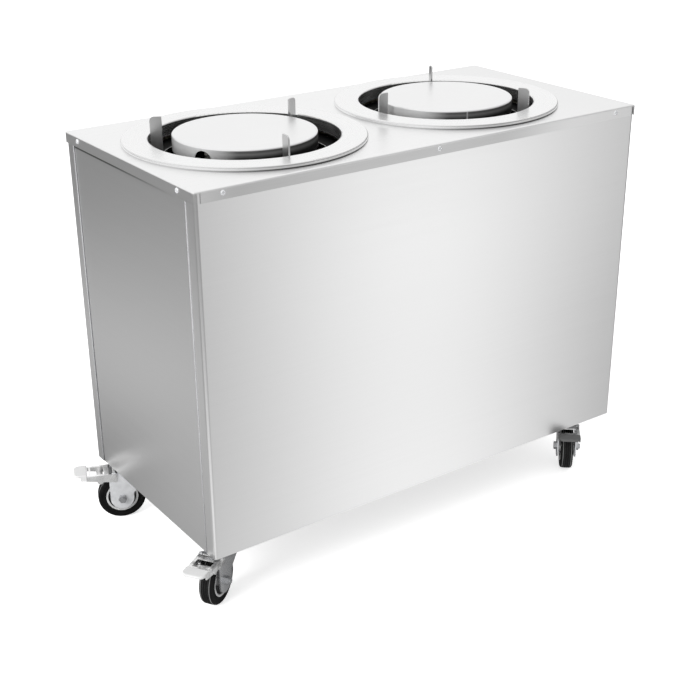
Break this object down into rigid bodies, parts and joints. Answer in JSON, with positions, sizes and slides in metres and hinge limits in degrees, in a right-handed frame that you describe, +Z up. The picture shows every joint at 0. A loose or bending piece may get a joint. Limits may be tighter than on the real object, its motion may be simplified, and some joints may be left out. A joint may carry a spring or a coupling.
{
  "type": "heated plate dispenser",
  "caption": "Mobile heated plate dispenser: sheet-steel cabinet on swivel casters with round wells whose sprung discs lift plate stacks between adjustable guide fins.",
  "frame": {"origin": "on the floor under the middle of the cabinet's plan", "axes": "+X along the cabinet towards the control end, +Y towards the rear panel, +Z up"},
  "size_m": [0.9998, 0.4888, 0.78],
  "materials": {
    "stainless": "brushed stainless sheet",
    "polished": "polished stainless",
    "galvanised": "galvanised sheet",
    "zinc": "bright zinc plate",
    "spring_wire": "drawn wire",
    "sheath": "heat-darkened sheath",
    "insulation": "mineral board",
    "bush": "moulded",
    "enamel": "matt black heat-proof enamel",
    "tyre": "matt",
    "black_plastic": "moulded",
    "rocker": "gloss",
    "lamp": "translucent lens",
    "terminal": "moulded"
  },
  "bodies": {
    "cabinet": {"front_panel": "stainless", "rear_panel": "stainless", "left_end_panel": "stainless", "right_end_panel": "stainless", "top_deck": "stainless", "panel_screws": "polished", "base_tray": "galvanised", "caster_rails": "galvanised", "heater_deck": "galvanised", "insulation_boards": "insulation", "well_tubes": "enamel", "left_well_ring": "stainless", "right_well_ring": "stainless", "guide_rods": "enamel", "left_lift_springs": "spring_wire", "right_lift_springs": "spring_wire", "heating_elements": "sheath", "fin_brackets": "enamel", "control_panel": "stainless", "thermostat": "black_plastic", "switch_housing": "black_plastic", "pilot_lamp": "lamp", "terminal_block": "terminal", "cable_gland": "black_plastic", "caster_plates": "zinc", "fixing_bolts": "zinc"},
    "left_carriage": {"left_plate_disc": "polished", "left_carrier": "enamel", "left_slide_bushes": "bush"},
    "left_guide_fin_1": {"left_guide_fin_1": "stainless"},
    "left_guide_fin_2": {"left_guide_fin_2": "stainless"},
    "left_guide_fin_3": {"left_guide_fin_3": "stainless"},
    "right_carriage": {"right_plate_disc": "polished", "right_carrier": "enamel", "right_slide_bushes": "bush"},
    "right_guide_fin_1": {"right_guide_fin_1": "stainless"},
    "right_guide_fin_2": {"right_guide_fin_2": "stainless"},
    "right_guide_fin_3": {"right_guide_fin_3": "stainless"},
    "thermostat_knob": {"thermostat_knob": "black_plastic"},
    "switch_rocker": {"switch_rocker": "rocker"},
    "front_left_caster": {"front_left_fork": "zinc", "front_left_axle": "zinc"},
    "front_left_wheel_set": {"front_left_wheel": "zinc", "front_left_tyre": "tyre"},
    "front_left_brake_pedal": {"front_left_brake_pedal": "zinc"},
    "rear_left_caster": {"rear_left_fork": "zinc", "rear_left_axle": "zinc"},
    "rear_left_wheel_set": {"rear_left_wheel": "zinc", "rear_left_tyre": "tyre"},
    "rear_left_brake_pedal": {"rear_left_brake_pedal": "zinc"},
    "front_right_caster": {"front_right_fork": "zinc", "front_right_axle": "zinc"},
    "front_right_wheel_set": {"front_right_wheel": "zinc", "front_right_tyre": "tyre"},
    "front_right_brake_pedal": {"front_right_brake_pedal": "zinc"},
    "rear_right_caster": {"rear_right_fork": "zinc", "rear_right_axle": "zinc"},
    "rear_right_wheel_set": {"rear_right_wheel": "zinc", "rear_right_tyre": "tyre"},
    "rear_right_brake_pedal": {"rear_right_brake_pedal": "zinc"}
  },
  "joints": [
    {"name": "left_lift", "type": "slide", "parent": "cabinet", "child": "left_carriage", "axis": [0, 0, 1], "range_m": [-0.45, 0], "stiffness_N_per_m": 1100, "springref_m": 0.05, "deforming": ["left_lift_springs"]},
    {"name": "left_guide_fin_1_slide", "type": "slide", "parent": "cabinet", "child": "left_guide_fin_1", "axis": [-0.9063, -0.4226, 0], "range_m": [0, 0.012]},
    {"name": "left_guide_fin_2_slide", "type": "slide", "parent": "cabinet", "child": "left_guide_fin_2", "axis": [0.8192, -0.5736, 0], "range_m": [0, 0.012]},
    {"name": "left_guide_fin_3_slide", "type": "slide", "parent": "cabinet", "child": "left_guide_fin_3", "axis": [0.0872, 0.9962, 0], "range_m": [0, 0.012]},
    {"name": "right_lift", "type": "slide", "parent": "cabinet", "child": "right_carriage", "axis": [0, 0, 1], "range_m": [-0.45, 0], "stiffness_N_per_m": 1100, "springref_m": 0.05, "deforming": ["right_lift_springs"]},
    {"name": "right_guide_fin_1_slide", "type": "slide", "parent": "cabinet", "child": "right_guide_fin_1", "axis": [-0.4695, -0.8829, 0], "range_m": [0, 0.012]},
    {"name": "right_guide_fin_2_slide", "type": "slide", "parent": "cabinet", "child": "right_guide_fin_2", "axis": [0.9994, 0.0349, 0], "range_m": [0, 0.012]},
    {"name": "right_guide_fin_3_slide", "type": "slide", "parent": "cabinet", "child": "right_guide_fin_3", "axis": [-0.5299, 0.848, 0], "range_m": [0, 0.012]},
    {"name": "thermostat_turn", "type": "hinge", "parent": "cabinet", "child": "thermostat_knob", "pos_m": [0.465, -0.055, 0.623], "axis": [-1, 0, 0], "range_deg": [0, 270]},
    {"name": "switch_rock", "type": "hinge", "parent": "cabinet", "child": "switch_rocker", "pos_m": [0.45, 0, 0.623], "axis": [0, -1, 0], "range_deg": [0, 16]},
    {"name": "front_left_swivel", "type": "hinge", "parent": "cabinet", "child": "front_left_caster", "pos_m": [-0.405, -0.16, 0.1], "axis": [0, 0, 1], "continuous": true},
    {"name": "front_left_roll", "type": "hinge", "parent": "front_left_caster", "child": "front_left_wheel_set", "pos_m": [-0.43484, -0.18013, 0.045], "axis": [0.5592, -0.829, 0], "continuous": true},
    {"name": "front_left_brake", "type": "hinge", "parent": "front_left_caster", "child": "front_left_brake_pedal", "pos_m": [-0.44479, -0.18684, 0.096], "axis": [0.5592, -0.829, 0], "range_deg": [0, 9]},
    {"name": "rear_left_swivel", "type": "hinge", "parent": "cabinet", "child": "rear_left_caster", "pos_m": [-0.405, 0.16, 0.1], "axis": [0, 0, 1], "continuous": true},
    {"name": "rear_left_roll", "type": "hinge", "parent": "rear_left_caster", "child": "rear_left_wheel_set", "pos_m": [-0.43838, 0.17349, 0.045], "axis": [-0.3746, -0.9272, 0], "continuous": true},
    {"name": "rear_left_brake", "type": "hinge", "parent": "rear_left_caster", "child": "rear_left_brake_pedal", "pos_m": [-0.4495, 0.17798, 0.096], "axis": [-0.3746, -0.9272, 0], "range_deg": [0, 9]},
    {"name": "front_right_swivel", "type": "hinge", "parent": "cabinet", "child": "front_right_caster", "pos_m": [0.405, -0.16, 0.1], "axis": [0, 0, 1], "continuous": true},
    {"name": "front_right_roll", "type": "hinge", "parent": "front_right_caster", "child": "front_right_wheel_set", "pos_m": [0.38138, -0.18717, 0.045], "axis": [0.7547, -0.6561, 0], "continuous": true},
    {"name": "front_right_brake", "type": "hinge", "parent": "front_right_caster", "child": "front_right_brake_pedal", "pos_m": [0.37351, -0.19623, 0.096], "axis": [0.7547, -0.6561, 0], "range_deg": [0, 9]},
    {"name": "rear_right_swivel", "type": "hinge", "parent": "cabinet", "child": "rear_right_caster", "pos_m": [0.405, 0.16, 0.1], "axis": [0, 0, 1], "continuous": true},
    {"name": "rear_right_roll", "type": "hinge", "parent": "rear_right_caster", "child": "rear_right_wheel_set", "pos_m": [0.37117, 0.14769, 0.045], "axis": [0.342, -0.9397, 0], "continuous": true},
    {"name": "rear_right_brake", "type": "hinge", "parent": "rear_right_caster", "child": "rear_right_brake_pedal", "pos_m": [0.3599, 0.14358, 0.096], "axis": [0.342, -0.9397, 0], "range_deg": [0, 9]}
  ]
}
